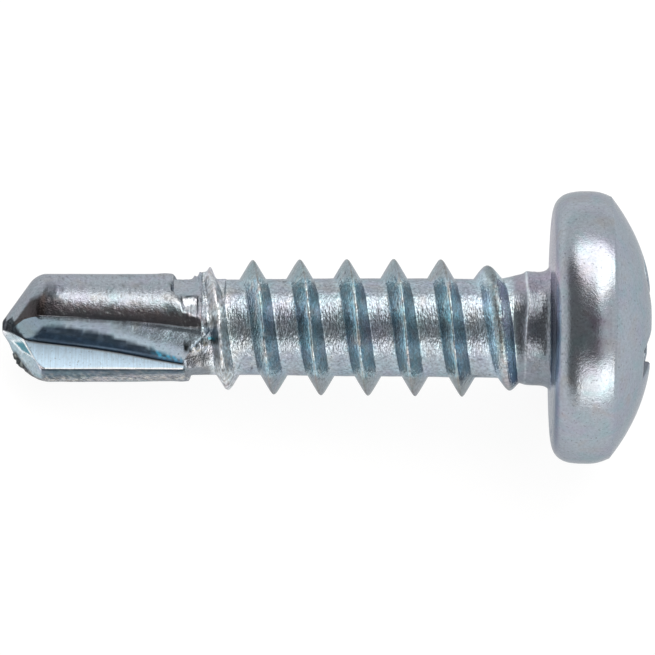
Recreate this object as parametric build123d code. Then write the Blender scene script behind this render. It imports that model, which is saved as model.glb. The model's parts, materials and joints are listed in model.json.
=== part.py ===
"""Pan-head self-drilling screw, ST4.8 x 19, lying on its side as it comes to rest.

The screw is one forging. It is modelled about its own axis first, which is the X axis:
x = 0 is the bearing face under the head, the crown is at +X and the drill point at -X.
A clock angle turns about that axis, from 0 at +Z towards +Y. The last step lays the screw
on its head rim and drill body, with the origin below the middle of its box.
"""

from build123d import *
import math
import os

# Head, in millimetres
head_diameter = 9.3
bearing_corner_radius = 0.75
side_end_height = 1.5
crown_edge_inset = 0.23
crown_edge_height = 2.08
crown_height = 3.58
crown_edge_radius = 0.35

# Cross recess, size 2
recess_width = 4.9
recess_depth = 2.6
wing_thickness = 1.15
wing_draft = 3.0
wing_end_angle = 26.5
inner_corner_reach = 1.2
inner_corner_draft = 7.0
recess_clock = 28.0

# Neck between head and thread
neck_diameter = 3.76
neck_lip_diameter = 3.86
neck_length = 0.78
neck_lip_width = 0.12
neck_cone_length = 0.9
neck_fillet = 0.3

# Thread, rolled on the core
length = 18.64
thread_diameter = 4.65
core_diameter = 3.35
pitch = 1.6
ridge_base_width = 0.9
crest_width = 0.06
full_thread_start = 2.95
thread_to_drill_gap = 2.52
run_out_length = 2.3
run_out_bury = 0.1
run_in_length = 2.0
run_in_bury = 0.15
crest_at_top = 3.75
root_sink = 0.15

# Drill body and point
drill_diameter = 3.684
drill_section_length = 6.02
drill_body_end_radius = 0.12
point_half_angle = 52.0
point_flat_diameter = 0.64
point_flat_bulge = 0.033
shoulder_radius = 0.6

# Two flutes: a flat cutting face and a wall that opens towards the thread
cutting_edge_clock = -49.5
cutting_face_tilt = 42.0
valley_reach_at_point = 0.62
valley_reach_in_middle = 0.98
valley_bite_at_end = 0.055
wall_top_clock_at_point = 13.0
wall_top_clock_in_middle = 8.5
wall_top_clock_at_end = 0.0
flute_overrun = 0.6

# Rest
rest_roll = 25.0

# How far a cutting tool stands out of what it cuts
cut_clearance = 0.1

head_radius = head_diameter / 2
crown_edge_reach = head_radius - crown_edge_inset
core_radius = core_diameter / 2
drill_radius = drill_diameter / 2
drill_body_start = length - drill_section_length
thread_radius = thread_diameter / 2
thread_height = thread_radius - core_radius
full_thread_end = drill_body_start - thread_to_drill_gap
point_flat_radius = point_flat_diameter / 2
point_slope = math.tan(math.radians(point_half_angle))
shoulder_start = length - point_flat_bulge - (drill_radius - point_flat_radius) / point_slope


def clock_point(x, radius, clock):
    """A point on a circle about the screw's axis."""
    turn = math.radians(clock)
    return Vector(x, radius * math.sin(turn), radius * math.cos(turn))


def round_corner(face, corner, radius):
    """Rounds the corner of a flat outline that lies nearest to a given point."""
    nearest = min(face.vertices(), key=lambda v: (Vector(v) - Vector(*corner, 0)).length)
    return fillet(nearest, radius)


def turned(outline):
    """Revolves a closed outline, given in x and radius, about the screw's axis."""
    return revolve(outline, Axis.X, 360)


def head_and_shank():
    """Head, neck, thread core, drill body and blunt conical point, with no thread or cuts."""
    neck_radius = neck_diameter / 2
    lip_radius = neck_lip_diameter / 2
    crown = ThreePointArc(
        (crown_height, 0),
        (crown_arc_height(crown_edge_reach / 2), crown_edge_reach / 2),
        (crown_edge_height, crown_edge_reach),
    )
    bearing_corner = (0, head_radius)
    neck_root = (0, neck_radius)
    crown_edge = (crown_edge_height, crown_edge_reach)
    side_end = (side_end_height, head_radius)
    body_end = (-drill_body_start, drill_radius)
    shoulder = (-shoulder_start, drill_radius)
    outline = Polyline(
        crown_edge,
        side_end,
        bearing_corner,
        neck_root,
        (-neck_length + neck_lip_width, neck_radius),
        (-neck_length, lip_radius),
        (-neck_length - neck_cone_length, core_radius),
        (-drill_body_start, core_radius),
        body_end,
        shoulder,
        (-length + point_flat_bulge, point_flat_radius),
        (-length, 0),
        (crown_height, 0),
    )
    face = make_face([crown, outline])
    face = round_corner(face, bearing_corner, bearing_corner_radius)
    face = round_corner(face, neck_root, neck_fillet)
    face = round_corner(face, crown_edge, crown_edge_radius)
    face = round_corner(face, side_end, bearing_corner_radius)
    face = round_corner(face, body_end, drill_body_end_radius)
    face = round_corner(face, shoulder, shoulder_radius)
    return turned(face)


def crown_arc_height(radius):
    """Height of the spherical crown above the bearing face, at a given radius."""
    rise = crown_height - crown_edge_height
    sphere = (crown_edge_reach**2 + rise**2) / (2 * rise)
    return crown_height - sphere + math.sqrt(sphere**2 - radius**2)


def thread_section():
    """The pointed V section of the rolled ridge, sunk a little into the core."""
    inner = core_radius - root_sink
    slope = (ridge_base_width - crest_width) / 2 / thread_height
    inner_half = crest_width / 2 + slope * (thread_radius - inner)
    outline = Polyline(
        (inner, 0, -inner_half),
        (thread_radius, 0, -crest_width / 2),
        (thread_radius, 0, crest_width / 2),
        (inner, 0, inner_half),
        close=True,
    )
    return make_face(outline)


def ridge(span, sink=0.0):
    """A right-hand helical ridge along +Z from z = 0, which sinks into the core by its end."""
    narrowing = math.degrees(math.atan2(sink, span))
    path = Helix(pitch, span, core_radius - root_sink, cone_angle=-narrowing)
    return sweep(thread_section(), path=path, is_frenet=True)


def thread():
    """The rolled thread: a full middle stretch, and at each end a ridge that sinks away."""
    span = full_thread_end - full_thread_start
    run_out = ridge(run_out_length, thread_height + run_out_bury)
    whole = (
        ridge(span)
        + Rot(180, 0, 0) * ridge(run_in_length, thread_height + run_in_bury)
        + Pos(0, 0, span) * Rot(0, 0, 360 * span / pitch) * run_out
    )
    turns_to_crest = (full_thread_end - crest_at_top) / pitch
    phase = Rot(90 - 360 * turns_to_crest, 0, 0)
    return phase * Pos(-full_thread_end, 0, 0) * Rot(0, 90, 0) * whole


def flute_section(x, valley_reach, wall_top_clock):
    """A V section across the screw: valley, cutting edge side and opposite wall."""
    edge = clock_point(x, drill_radius, cutting_edge_clock)
    wall_top = clock_point(x, drill_radius, wall_top_clock)
    face_turn = math.radians(cutting_face_tilt)
    along_face = Vector(0, -math.cos(face_turn), math.sin(face_turn))
    valley = edge - along_face * (drill_radius - valley_reach)
    past_edge = valley + along_face * (2 * drill_radius)
    past_wall = valley + (wall_top - valley).normalized() * (2 * drill_radius)
    return make_face(Polyline(valley, past_edge, past_wall, close=True))


def flute():
    """One flute as a solid to cut away, deepest at the point."""
    point_x = -length - flute_overrun
    end_x = -drill_body_start + flute_overrun
    middle_x = (point_x + end_x) / 2
    valley_reach_at_end = min(core_radius, drill_radius) - valley_bite_at_end
    sections = [
        flute_section(point_x, valley_reach_at_point, wall_top_clock_at_point),
        flute_section(middle_x, valley_reach_in_middle, wall_top_clock_in_middle),
        flute_section(end_x, valley_reach_at_end, wall_top_clock_at_end),
    ]
    return loft(sections, ruled=True)


def recess_section(depth, above):
    """The cross-shaped outline of the recess at a depth below its rim."""
    half_wing = wing_thickness / 2 - depth * math.tan(math.radians(wing_draft))
    tip = recess_width / 2 - depth * math.tan(math.radians(wing_end_angle))
    reach = inner_corner_reach - depth * math.tan(math.radians(inner_corner_draft))
    half_flat = reach - half_wing * math.sqrt(2)
    flat_near = (reach - half_flat) / math.sqrt(2)
    flat_far = (reach + half_flat) / math.sqrt(2)
    points = []
    for quarter in range(4):
        turn = math.radians(90 * quarter)
        for u, v in ((tip, -flat_near), (tip, flat_near), (flat_far, flat_near), (flat_near, flat_far)):
            y = u * math.cos(turn) - v * math.sin(turn)
            z = u * math.sin(turn) + v * math.cos(turn)
            points.append((above - depth, y, z))
    return make_face(Polyline(*points, close=True))


def recess():
    """The cross recess as a solid to cut away."""
    rim = crown_arc_height(recess_width / 2)
    over = crown_height - rim + cut_clearance
    wings = loft([recess_section(-over, rim), recess_section(recess_depth, rim)], ruled=True)
    return Rot(recess_clock, 0, 0) * wings


def laid_down(screw):
    """Rolls and tilts the screw until its head rim and drill body rest on the floor."""
    head_x, head_r = bearing_corner_radius, head_radius - bearing_corner_radius
    shoulder_step = shoulder_radius * math.tan(math.radians(90 - point_half_angle) / 2)
    drill_x, drill_r = -shoulder_start + shoulder_step, drill_radius - shoulder_radius
    run, rise = head_x - drill_x, head_r - drill_r
    reach_difference = bearing_corner_radius - shoulder_radius
    tilt = math.atan2(rise, run) + math.asin(reach_difference / math.hypot(run, rise))
    posed = Rot(0, -math.degrees(tilt), 0) * Rot(rest_roll, 0, 0) * screw
    box = posed.bounding_box()
    middle = box.center()
    return Pos(-middle.X, -middle.Y, -box.min.Z) * posed


screw = head_and_shank() + thread()
for side in (0, 180):
    screw -= Rot(side, 0, 0) * flute()
screw -= recess()
screw = laid_down(screw)

os.makedirs("parts", exist_ok=True)
export_step(screw, "parts/screw.step")
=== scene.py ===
# %% [markdown]
# # A self-drilling screw
# The real screw starts as a piece of steel wire. One blow makes the head and punches the cross recess,
# two dies pinch the drill point, two more roll the thread, and a bath gives it bright zinc.
# This script takes the same steps. It spins a plain blank and then moves the blank's vertices as each
# die would, so the whole screw stays one closed skin with no cuts or joins to hide.

# %% The frame
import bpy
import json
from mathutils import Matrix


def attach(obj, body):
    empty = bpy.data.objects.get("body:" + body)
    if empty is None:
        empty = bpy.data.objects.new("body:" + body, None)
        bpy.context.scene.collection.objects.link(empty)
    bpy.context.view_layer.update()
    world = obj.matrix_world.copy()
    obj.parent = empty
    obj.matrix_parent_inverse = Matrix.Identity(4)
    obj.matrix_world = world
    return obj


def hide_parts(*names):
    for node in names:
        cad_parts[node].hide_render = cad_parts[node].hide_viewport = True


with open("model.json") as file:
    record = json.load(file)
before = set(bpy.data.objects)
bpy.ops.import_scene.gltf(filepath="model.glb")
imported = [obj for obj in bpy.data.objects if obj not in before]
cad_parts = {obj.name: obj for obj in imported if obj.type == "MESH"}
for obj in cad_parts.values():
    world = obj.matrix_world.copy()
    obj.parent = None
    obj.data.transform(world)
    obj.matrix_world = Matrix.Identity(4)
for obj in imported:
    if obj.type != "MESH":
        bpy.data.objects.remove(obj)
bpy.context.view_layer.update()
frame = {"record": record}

# %% Tools of the trade
import json
import math

import bmesh
import bpy
import numpy as np
from mathutils import Matrix, Vector, noise

MM = 0.001
print("this is Blender", bpy.app.version_string)

# %% [markdown]
# ## Where the screw lies
# All shaping is done in millimetres about the screw's own axis: x = 0 is the bearing face, the head is at
# +x and the point at -x. A clock angle turns about that axis, from 0 at +z towards +y. The frame's mounts
# say where that axis lies in the row, so the finished skin is laid down by one matrix.

# %% The lying matrix
mounts = {m["name"]: m for m in frame["record"]["mounts"]}
axis = Vector(mounts["driver_recess"]["axis"]).normalized()
on_axis = Vector(mounts["driver_recess"]["pos_m"])
on_bearing_face = Vector(mounts["bearing_face"]["pos_m"])
bearing_centre = on_axis + axis * (on_bearing_face - on_axis).dot(axis)
clock_zero = (on_bearing_face - bearing_centre).normalized()
turn = Matrix((axis, clock_zero.cross(axis), clock_zero)).transposed().to_4x4()
lay_down = Matrix.Translation(bearing_centre) @ turn
print("the axis rises", round(math.degrees(math.asin(axis.z)), 2), "degrees towards the head")

# %% [markdown]
# ## The blank
# The wire, with the blank of a head on it, is the same all round, so it could be a cylinder with a flared
# end. A spun outline gives more: it has one straight stretch for each part that a die will shape, and
# each stretch is divided as finely as that part needs. The thread needs the most, because its crest
# crosses every ring. Sizes are in millimetres, and a station is a distance from the bearing face
# towards the point.

# %% Sizes of the blank
wire_radius = 1.842
point_station = 18.64
drill_front_station = 17.2
fine_start_station = 13.1
flare_end_station = 0.5
bearing_flat_radius = 3.5
head_radius = 4.65
rim_start_height = 1.3
crown_edge_height = 2.045
crown_edge_radius = 4.47
crown_height = 3.499
columns = 128
column_angle = 360 / columns
print("the blank is", round(point_station + crown_height, 2), "mm long")

# %% The outline, spun
outline = [
    # height along the axis, radius, divisions up to the next corner
    (-point_station, 0.0, 38),
    (-drill_front_station, wire_radius, 62),
    (-fine_start_station, wire_radius, 455),
    (-flare_end_station, wire_radius, 14),
    (0.0, wire_radius, 10),
    (0.0, bearing_flat_radius, 18),
    (rim_start_height, head_radius, 14),
    (crown_edge_height, crown_edge_radius, 56),
    (crown_height, 0.0, 0),
]
merge_distance = 1e-5
blank = bmesh.new()
corners = [blank.verts.new((height, 0, radius)) for height, radius, _ in outline]
stretches = [blank.edges.new(pair) for pair in zip(corners, corners[1:])]
for stretch, (_, _, divisions) in zip(stretches, outline):
    bmesh.ops.subdivide_edges(blank, edges=[stretch], cuts=divisions - 1)
bmesh.ops.spin(blank, geom=blank.verts[:] + blank.edges[:], cent=(0, 0, 0), axis=(1, 0, 0),
               angle=2 * math.pi, steps=columns, use_merge=True)
bmesh.ops.remove_doubles(blank, verts=blank.verts, dist=merge_distance)
blank.verts.index_update()
# a spin makes its faces in any order, so they are sorted to be the same each time
blank.faces.sort(key=lambda face: face.verts[0].index * len(blank.verts) + face.verts[2].index)
skin = bpy.data.meshes.new("screw")
blank.to_mesh(skin)
blank.free()
print("the blank has", len(skin.vertices), "vertices")

# %% The blank's own coordinates
a_hair = 1e-4
flat = np.zeros(3 * len(skin.vertices))
skin.vertices.foreach_get("co", flat)
place = flat.reshape(-1, 3)
height, radius = place[:, 0].copy(), np.hypot(place[:, 1], place[:, 2])
station = -height
clock = np.degrees(np.arctan2(place[:, 1], place[:, 2]))
clock = column_angle * np.round(clock / column_angle)
print("its columns are", column_angle, "degrees apart")

# %% [markdown]
# ## The head
# The blow that upsets the head leaves no sharp edge. The underside turns up into the side along a
# superellipse, which is softer than a plain fillet. The side is slightly barrelled, and the crown is a
# flat ellipse that meets it in a faint edge. A bevel could round the edges, but formulas let each ring
# of the blank slide to its exact place.

# %% The head's outline as formulas
corner_power = 3.2
face_cone = 0.06
barrel_drop = head_radius - crown_edge_radius
barrel_power = 2.2
crown_drop = 0.0399
crown_power = 2.4


def crown(reach):
    """Height of the crown at a distance from the axis."""
    return crown_height - crown_drop * reach**crown_power


def underside(share):
    """Height and radius along the underside's corner, for shares from 0 to 1."""
    sweep = share * math.pi / 2
    x = face_cone + (rim_start_height - face_cone) * (1 - np.cos(sweep) ** (2 / corner_power))
    r = bearing_flat_radius + (head_radius - bearing_flat_radius) * np.sin(sweep) ** (2 / corner_power)
    return x, r


def around(distance, angle):
    """The y and z of points at a distance from the axis and at a clock angle."""
    turned = np.radians(angle)
    return distance * np.sin(turned), distance * np.cos(turned)


# %% Upset the head
in_corner = (height > 0) & (height < rim_start_height)
in_side = (height >= rim_start_height) & (height < crown_edge_height)
in_crown = height >= crown_edge_height
on_head = in_corner | in_side | in_crown

x, r = underside(height[in_corner] / rim_start_height)
place[in_corner, 0] = x
place[in_corner, 1], place[in_corner, 2] = around(r, clock[in_corner])
along = (height[in_side] - rim_start_height) / (crown_edge_height - rim_start_height)
barrelled = head_radius - barrel_drop * along**barrel_power
place[in_side, 1], place[in_side, 2] = around(barrelled, clock[in_side])
print("the head took", int(on_head.sum()), "vertices")

# %% [markdown]
# ## The cross recess
# The punch is a cross whose wings get narrower with depth. Cutting it out with a boolean would leave
# ragged faces round its rim. Here the rings of the crown are drawn in until one of them is the rim of
# the cross. The next rings go down its walls, and the last ones cover its floor.

# %% Sizes of the punch
wing_reach = 2.45
wing_half_width = 0.575
inner_reach = 1.2
wing_draft = 3.0
wing_end_draft = 26.5
inner_draft = 7.0
recess_depth = 2.6
floor_dip = 0.25
rim_rounding = 0.05
rim_wear_width = 0.06
wing_clock = 62.0
recess_off_axis = -0.10
recess_rim_height = crown(wing_reach)
rim_ring, floor_ring = 2.6, 0.8
tip_columns, side_columns, diagonal_columns = 3, 9, 4


def cross(depth, angle):
    """Points on the cross-shaped outline at a depth, one for each blank clock angle."""
    half_width = wing_half_width - depth * math.tan(math.radians(wing_draft))
    tip = wing_reach - depth * math.tan(math.radians(wing_end_draft))
    inner = inner_reach - depth * math.tan(math.radians(inner_draft))
    inner_far = (2 * inner - half_width * math.sqrt(2)) / math.sqrt(2)
    quarter = np.round(angle / 90)
    column = np.abs(angle - 90 * quarter) / column_angle
    tip_end, side_end = tip_columns, tip_columns + side_columns
    on_diagonal = np.clip((column - side_end) / diagonal_columns, 0, 1)
    on_side = np.clip((column - tip_end) / side_columns, 0, 1)
    on_tip = np.clip(column / tip_end, 0, 1)
    u = tip + on_side * (inner_far - tip) + on_diagonal * (inner / math.sqrt(2) - inner_far)
    v = on_tip * half_width + on_diagonal * (inner / math.sqrt(2) - half_width)
    v = np.where(angle < 90 * quarter, -v, v)
    return np.hypot(u, v), np.degrees(np.arctan2(v, u)) + 90 * quarter


def angle_from(angle, centre):
    """The angle measured from a centre, between -180 and 180."""
    return (angle - centre + 180) % 360 - 180


print("at the floor the wings reach", round(float(cross(recess_depth, 0.0)[0]), 2), "mm from the middle")

# %% The rim and the hole
ring = radius[in_crown]
cross_angle = angle_from(clock[in_crown], column_angle * round(wing_clock / column_angle))
rim_depth = np.zeros(len(ring))
for _ in range(3):
    rim_reach, rim_turn = cross(rim_depth, cross_angle)
    rim_depth = recess_rim_height - crown(rim_reach)
down = np.clip((rim_ring - ring) / (rim_ring - floor_ring), 0, 1)
depth = rim_depth + down * (recess_depth - rim_depth)
hole_reach, hole_turn = cross(depth, cross_angle)
floor_share = np.clip(ring / floor_ring, 0, 1)
hole_y, hole_z = around(hole_reach * floor_share, hole_turn)
print("the rim lies", round(float(np.ptp(rim_depth)), 2), "mm deeper at a wing's end than between wings")

# %% Punch it
outward = np.clip((ring - rim_ring) / (crown_edge_radius - rim_ring), 0, 1)
rim_y, rim_z = around(rim_reach, rim_turn)
edge_y, edge_z = around(crown_edge_radius, cross_angle)
open_y, open_z = rim_y + outward * (edge_y - rim_y), rim_z + outward * (edge_z - rim_z)
outside = ring > rim_ring
wing_turn = math.radians(wing_clock)
off_axis = recess_off_axis * (1 - outward)
shifted_y, shifted_z = open_y + off_axis * math.cos(wing_turn), open_z + off_axis * math.sin(wing_turn)
open_height = crown(np.hypot(shifted_y, shifted_z))
hole_height = recess_rim_height - depth - floor_dip * (1 - floor_share)
worn = rim_rounding * np.exp(-np.abs(ring - rim_ring) / rim_wear_width)
x = np.where(outside, open_height, hole_height) - worn
y = np.where(outside, open_y, hole_y)
z = np.where(outside, open_z, hole_z)
place[in_crown, 0] = x
place[in_crown, 1] = y * math.cos(wing_turn) + z * math.sin(wing_turn) + off_axis
place[in_crown, 2] = z * math.cos(wing_turn) - y * math.sin(wing_turn)
in_recess = in_crown.copy()
in_recess[in_crown] = ~outside
print("the recess is", round(float(np.ptp(x)), 2), "mm from crown to floor")

# %% [markdown]
# ## The rolled thread
# The dies press the steel up into a V ridge with a hair-fine rounded crest. A screw modifier would turn a
# profile of its own, which then has to be joined to the wire. Lifting each vertex by the ridge's height
# at its place along the helix needs no join. Where the dies begin and end, the V isn't filled, so its
# crest is lower, blunt and a little uneven.

# %% The thread's section and its run-outs
core_radius = 1.668
thread_radius = 2.325
pitch = 1.6
crest_station = 10.145
thread_lean = 0.0194
ridge_half_width = 0.425
thread_height = thread_radius - core_radius
crest_rounding = 0.05
root_rounding = 0.02
least_slope = 0.72
blunt_stations = [1.2, 1.5, 1.75, 2.1, 2.5, 2.9, 10.4]
blunt_roundings = [0.06, 0.20, 0.28, 0.21, 0.10, 0.05, 0.05]
filled_stations = [0.55, 0.85, 1.35, 2.13, 2.95, 10.2, 10.90, 11.745, 12.0, 12.2]
filled_shares = [0.0, 0.25, 0.53, 0.70, 1.0, 1.0, 0.78, 0.47, 0.2, 0.0]
tail_stations = (10.6, 11.6)
tail_shift = 0.136
print("the thread stands", round(thread_height, 3), "mm high and its crests are", pitch, "mm apart")

# %% Helpers for the thread


def blend(start, end, value):
    """0 before start, 1 after end and a smooth climb between them."""
    t = np.clip((value - start) / (end - start), 0, 1)
    return t * t * (3 - 2 * t)


def larger(a, b, rounding):
    """The larger of two surfaces, with the crease between them rounded."""
    return (a + b + np.sqrt((a - b) ** 2 + rounding**2)) / 2


def helix(s, y, angle):
    """Distance from the nearest crest along the axis, and that crest's own station."""
    turns = (s + thread_lean * y - crest_station) / pitch - (angle - 90) / 360
    nearest = np.round(turns)
    crest = crest_station + pitch * (nearest + (angle - 90) / 360)
    return (turns - nearest) * pitch + tail_shift * blend(*tail_stations, crest), crest


def ridge_height(s, y, angle):
    """How far the rolled ridge stands out of the core, and where on the ridge each place is."""
    off, crest = helix(s, y, angle)
    filled = np.interp(crest, filled_stations, filled_shares)
    blunt = np.interp(crest, blunt_stations, blunt_roundings)
    steepness = least_slope + (1 - least_slope) * filled
    slope = thread_height / (ridge_half_width - crest_rounding) * steepness
    vee = filled * thread_height - slope * (np.sqrt(off**2 + blunt**2) - blunt)
    return larger(vee, 0, root_rounding) - root_rounding / 2, off, filled, crest


half_filled, _, _, _ = ridge_height(crest_station - 5.5 * pitch, 0.0, -90.0)
print("the half-filled turn near the head stands", round(float(half_filled), 2), "mm high")

# %% [markdown]
# ## The neck
# Under the head the shank widens in a short cone, then flares into the bearing face. The ends of the
# rolling dies leave one thin ring mark on it, fainter towards the back. The shank is also a few
# hundredths of a millimetre out of straight, which the eye sees in its outline. A modelled fillet and a
# bend modifier would each need a piece of their own, while one radius along the axis holds all of it.

# %% The neck's radius
neck_swell = 0.235
neck_cone = (0.5, 1.95)
flare = 0.22
flare_length = 0.12
core_stations = [2.5, 5.0, 7.5, 10.2]
core_growth = [0.022, 0.017, 0.007, -0.029]
bend_stations = [0.5, 2.0, 3.0, 5.0, 7.5, 10.0, 12.5]
bend_shifts = [-0.048, -0.032, -0.02, 0.003, 0.01, 0.017, -0.014]


def shank_radius(s):
    """Radius of the shank with no thread."""
    swell = neck_swell * (1 - blend(*neck_cone, s))
    flared = flare * np.exp(-s / flare_length)
    return core_radius + np.interp(s, core_stations, core_growth) + swell + flared


print("the neck is", round(2 * float(shank_radius(0.5)), 2), "mm across half a millimetre under the head")

# %% The ring mark
ring_mark_height = 0.08
ring_mark_station = 0.79
ring_mark_tip = 0.015
ring_fade_to_head, ring_fade_to_point = 0.28, 0.085
ring_faintest = 0.25
ring_seen_clocks = (-45, 5)
ring_drift, ring_drift_clocks = 0.06, (40, -40)
ring_kink, ring_kink_clock, ring_kink_width = -0.05, 28, 18


def bell(value, centre, half_width):
    """A smooth bump of height 1."""
    return np.exp(-(((value - centre) / half_width) ** 2))


def ring_mark(s, angle):
    """The ring that the dies' ends leave: its share at each place and the distance to its top."""
    kink = ring_kink * bell(angle, ring_kink_clock, ring_kink_width)
    middle = ring_mark_station + ring_drift * blend(*ring_drift_clocks, angle) + kink
    seen = ring_faintest + (1 - ring_faintest) * blend(*ring_seen_clocks, angle)
    off = s - middle
    away = np.sqrt(off**2 + ring_mark_tip**2) - ring_mark_tip
    return seen * np.exp(-away / np.where(off > 0, ring_fade_to_point, ring_fade_to_head)), off


print("the ring mark stands up to", ring_mark_height, "mm high")

# %% [markdown]
# ## The drill point
# Two dies pinch the blank into a twist-drill section. On each side a wall falls to a valley and a flat
# cutting face rises from it to the lip. Both meet the round land in crisp edges. Flutes could be cut
# with two swept tools, but the edges would then run across the mesh at random. Here the section is a
# closed path of three stretches, done twice, and every blank column gets a fixed place on that path, so
# that a line of vertices runs along each edge.

# %% Sizes of the drill section
lip_clock = -49.5
face_tilt = 27.0
wall_columns, face_columns, land_columns = 17, 11, 36
first_column = 4
path_crowding = 0.72
valley_stations = [12.0, 12.65, 13.43, 13.94, 14.6, 15.31, 16.0, 16.67, 17.35, 17.69, 17.93, 18.2, 18.58]
valley_heights = [-1.32, -1.215, -1.08, -0.98, -0.86, -0.75, -0.655, -0.575,
                  -0.50, -0.445, -0.375, -0.245, -0.105]
wall_top_front_clock, wall_top_front = 12.7, drill_front_station + 0.15
wall_top_drift, wall_top_drift_growth, wall_top_lead = 1.6, 0.04, 36
wall_bow, longest_bow = 0.07, 1.5
land_fall_stations = [12.6, 16.7]
land_falls = [-0.045, 0.063]
land_fall_clocks = (8, 50)
wall_rounding, valley_rounding, lip_rounding = 0.10, 0.07, 0.018


def wall_top_clock(s):
    """Where the wall starts on the land, which drifts as the flute runs out."""
    behind, ahead = np.clip(wall_top_front - s, 0, None), np.clip(s - wall_top_front, 0, None)
    drift = wall_top_drift * behind + wall_top_drift_growth * behind**3
    return wall_top_front_clock + wall_top_lead * ahead - drift


def valley_drop(s):
    """How far the valley lies below the axis: it rises fast where it nears the tip."""
    return np.interp(s, valley_stations, valley_heights)


def section_corners(s):
    """The lip, the valley and the wall's top on one side, and the clock angle of that top."""
    lip = np.stack(around(wire_radius, lip_clock + 0 * s), 1)
    valley_y = valley_drop(s)
    valley_z = lip[:, 1] - (valley_y - lip[:, 0]) * math.tan(math.radians(face_tilt))
    wall_clock = wall_top_clock(s)
    return lip, np.stack((valley_y, valley_z), 1), np.stack(around(wire_radius, wall_clock), 1), wall_clock


print("the flute's wall starts at clock", wall_top_front_clock, "and its face ends at clock", lip_clock)

# %% Helpers for its path


def crowd(share):
    """Moves shares towards both ends of a stretch, where its edges need more vertices."""
    return share - path_crowding * np.sin(2 * math.pi * share) / (2 * math.pi)


def towards(start, end, distance):
    """The point at a distance from start on the way to end."""
    way = end - start
    return start + way * (distance / np.linalg.norm(way, axis=1))[:, None]


def rounded(start, corner, end, distance, reach):
    """A point near a corner, on the curve that rounds it, at a signed distance from it."""
    t = np.clip((distance + reach) / (2 * reach), 0, 1)[:, None]
    return (1 - t) ** 2 * start + 2 * t * (1 - t) * corner + t**2 * end


def past_first_column(angle):
    """Degrees round the section from the column where its path starts."""
    return (first_column * column_angle - angle) % 360


print("the path starts at clock", first_column * column_angle)

# %% The flat of the flash
flash_clock, flash_half_angle, flash_edge = -77, 40, 0.01
flash_stations = [12.6, 13.4, 15.1, 16.67, 17.3]
flash_distances = [1.72, 1.742, 1.787, 1.824, 1.842]


def smaller(a, b, rounding):
    """The smaller of two surfaces, with the crease between them rounded."""
    return (a + b - np.sqrt((a - b) ** 2 + rounding**2)) / 2


def trim_flash(point, s):
    """Flattens one side of the section, where the steel squeezed out between the dies is cut off."""
    reach, turned = np.hypot(point[:, 0], point[:, 1]), np.degrees(np.arctan2(point[:, 0], point[:, 1]))
    off = angle_from(turned, flash_clock)
    lean = np.cos(np.radians(np.clip(off, -flash_half_angle, flash_half_angle)))
    plane = np.interp(s, flash_stations, flash_distances) / lean
    limit = np.where(np.abs(off) < flash_half_angle, smaller(reach, plane, flash_edge), reach)
    return point * (limit / np.maximum(reach, a_hair))[:, None]


print("the flash is trimmed", round(wire_radius - flash_distances[0], 2), "mm deep at the rear")

# %% The drill section


def drill_section(s, angle):
    """The y and z of the drill's section at each station, for each blank clock angle."""
    column = past_first_column(angle) / column_angle % (columns / 2)
    lip, valley, wall_top, wall_clock = section_corners(s)
    on_wall = column < wall_columns
    on_face = (column >= wall_columns) & (column < wall_columns + face_columns)
    wall_share = crowd(np.clip(column / wall_columns, 0, 1))
    face_share = crowd(np.clip((column - wall_columns) / face_columns, 0, 1))
    land_share = crowd(np.clip((column - wall_columns - face_columns) / land_columns, 0, 1))
    land_end = wall_clock - 180
    land_clock = lip_clock + land_share * (land_end - lip_clock)
    wall_length = np.linalg.norm(valley - wall_top, axis=1)
    face_length = np.linalg.norm(lip - valley, axis=1)
    land_length = np.radians(lip_clock - land_end) * wire_radius

    # the three stretches, with the wall bowed a little inwards
    point = np.stack(around(wire_radius, land_clock), 1)
    outward = np.stack((wall_top[:, 1] - valley[:, 1], valley[:, 0] - wall_top[:, 0]), 1)
    bow = -wall_bow * np.sin(math.pi * wall_share) * np.clip(wall_length, 0, longest_bow) / wall_length
    point[on_wall] = (towards(wall_top, valley, wall_share * wall_length) + outward * bow[:, None])[on_wall]
    point[on_face] = towards(valley, lip, face_share * face_length)[on_face]

    # the three corners, rounded
    from_valley = np.where(on_face, face_share * face_length, -(1 - wall_share) * wall_length)
    near_valley = (on_wall | on_face) & (np.abs(from_valley) < valley_rounding)
    curve = rounded(towards(valley, wall_top, valley_rounding + 0 * s), valley,
                    towards(valley, lip, valley_rounding + 0 * s), from_valley, valley_rounding)
    point[near_valley] = curve[near_valley]
    after_lip_clock = lip_clock - math.degrees(lip_rounding / wire_radius)
    after_lip = np.stack(around(wire_radius, after_lip_clock + 0 * s), 1)
    from_lip = np.where(on_face, -(1 - face_share) * face_length, land_share * land_length)
    near_lip = ~on_wall & (np.abs(from_lip) < lip_rounding)
    curve = rounded(towards(lip, valley, lip_rounding + 0 * s), lip, after_lip, from_lip, lip_rounding)
    point[near_lip] = curve[near_lip]
    before_wall_clock = wall_clock + math.degrees(wall_rounding / wire_radius)
    before_wall = np.stack(around(wire_radius, before_wall_clock), 1)
    from_wall = np.where(on_wall, wall_share * wall_length, -(1 - land_share) * land_length)
    near_wall = ~on_face & (np.abs(from_wall) < wall_rounding)
    flip = np.where(on_wall, 1, -1)[:, None]
    curve = rounded(flip * before_wall, flip * wall_top,
                    flip * towards(wall_top, valley, wall_rounding + 0 * s), from_wall, wall_rounding)
    point[near_wall] = curve[near_wall]

    # the land's fall behind the lip, the far side and the flash
    land_fall = np.interp(s, land_fall_stations, land_falls)
    land_fall = land_fall * (1 - blend(*land_fall_clocks, land_clock % 180))
    fallen = 1 - land_fall / wire_radius * np.where(on_wall, 1 - wall_share, 1)
    point *= np.where(on_face, 1, fallen)[:, None]
    point[past_first_column(angle) >= 180] *= -1
    return trim_flash(point, s), on_face, on_wall


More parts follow.
